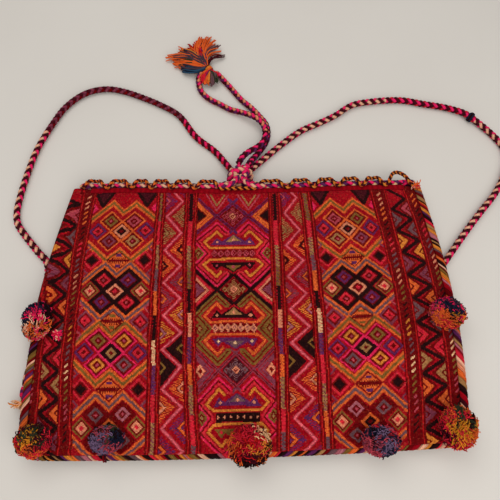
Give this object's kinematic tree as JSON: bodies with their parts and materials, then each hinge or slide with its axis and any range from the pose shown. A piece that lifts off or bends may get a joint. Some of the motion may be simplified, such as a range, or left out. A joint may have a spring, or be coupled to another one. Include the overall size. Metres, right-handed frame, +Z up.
{
  "type": "woven shoulder bag",
  "caption": "Flat-woven pouch lying on its back, with a drawstring mouth, scalloped rim braid, knotted shoulder straps, tasselled tie cords and pompoms hung along the edging.",
  "frame": {"origin": "on the surface the bag lies on, under the middle of the bag without its free cords", "axes": "+X across the bag to the right of the front, +Y towards the mouth, +Z up out of the front panel"},
  "size_m": [0.5285, 0.4903, 0.0432],
  "materials": {
    "crimson_weave": "matte",
    "dark_red_weave": "matte",
    "wrapped_edging": "matte",
    "dark_braid": "matte",
    "pink_braid": "matte",
    "maroon_braid": "matte",
    "navy_yarn": "matte",
    "rose_yarn": "matte",
    "crimson_yarn": "matte",
    "mustard_yarn": "matte",
    "orange_yarn": "matte",
    "slate_yarn": "matte"
  },
  "bodies": {
    "bag": {"front_panel": "crimson_weave", "back_panel": "dark_red_weave", "left_edging": "wrapped_edging", "bottom_edging": "wrapped_edging", "right_edging": "wrapped_edging", "front_rim_hem": "dark_red_weave", "back_rim_hem": "dark_red_weave", "front_loop_braid": "dark_braid", "back_loop_braid": "dark_braid", "drawstring": "pink_braid", "centre_knot": "pink_braid", "strap_end_left": "rose_yarn", "strap_end_right": "rose_yarn", "strap_left": "maroon_braid", "strap_right": "maroon_braid", "tie_cord_inner": "pink_braid", "tie_cord_outer": "pink_braid", "strap_whipping": "navy_yarn", "tassel_neck": "navy_yarn", "tassel_head": "orange_yarn", "small_tuft": "pink_braid"},
    "tassel_skirt": {"tassel_skirt": "orange_yarn"},
    "pompom_left_side": {"pompom_left_side": "navy_yarn", "pompom_tie_left_side": "dark_red_weave"},
    "pompom_left_corner": {"pompom_left_corner": "mustard_yarn", "pompom_tie_left_corner": "dark_red_weave"},
    "pompom_bottom_left": {"pompom_bottom_left": "rose_yarn", "pompom_tie_bottom_left": "dark_red_weave"},
    "pompom_bottom_centre": {"pompom_bottom_centre": "crimson_yarn", "pompom_tie_bottom_centre": "dark_red_weave"},
    "pompom_bottom_right": {"pompom_bottom_right": "navy_yarn", "pompom_tie_bottom_right": "dark_red_weave"},
    "pompom_right_corner": {"pompom_right_corner": "orange_yarn", "pompom_tie_right_corner": "dark_red_weave"},
    "pompom_right_side": {"pompom_right_side": "slate_yarn", "pompom_tie_right_side": "dark_red_weave"}
  },
  "joints": [
    {"name": "tassel_lift", "type": "hinge", "parent": "bag", "child": "tassel_skirt", "pos_m": [-0.04724, 0.29327, 0.0078], "axis": [0.8829, 0.4695, 0], "range_deg": [0, 75]},
    {"name": "pompom_swing_left_side", "type": "hinge", "parent": "bag", "child": "pompom_left_side", "pos_m": [-0.19375, -0.01779, 0.0122], "axis": [-0.0616, -0.9981, 0], "range_deg": [0, 60]},
    {"name": "pompom_swing_left_corner", "type": "hinge", "parent": "bag", "child": "pompom_left_corner", "pos_m": [-0.18779, -0.13061, 0.0122], "axis": [0.7071, -0.7071, 0], "range_deg": [0, 75]},
    {"name": "pompom_swing_bottom_left", "type": "hinge", "parent": "bag", "child": "pompom_bottom_left", "pos_m": [-0.11915, -0.13494, 0.0122], "axis": [1, 0.0069, 0], "range_deg": [0, 75]},
    {"name": "pompom_swing_bottom_centre", "type": "hinge", "parent": "bag", "child": "pompom_bottom_centre", "pos_m": [0.00088, -0.13277, 0.0122], "axis": [0.9996, 0.0297, 0], "range_deg": [0, 75]},
    {"name": "pompom_swing_bottom_right", "type": "hinge", "parent": "bag", "child": "pompom_bottom_right", "pos_m": [0.11312, -0.12825, 0.0122], "axis": [0.9987, 0.051, 0], "range_deg": [0, 75]},
    {"name": "pompom_swing_right_corner", "type": "hinge", "parent": "bag", "child": "pompom_right_corner", "pos_m": [0.18964, -0.11924, 0.0122], "axis": [0.7071, 0.7071, 0], "range_deg": [0, 75]},
    {"name": "pompom_swing_right_side", "type": "hinge", "parent": "bag", "child": "pompom_right_side", "pos_m": [0.19793, -0.01492, 0.0122], "axis": [-0.0358, 0.9994, 0], "range_deg": [0, 75]}
  ]
}
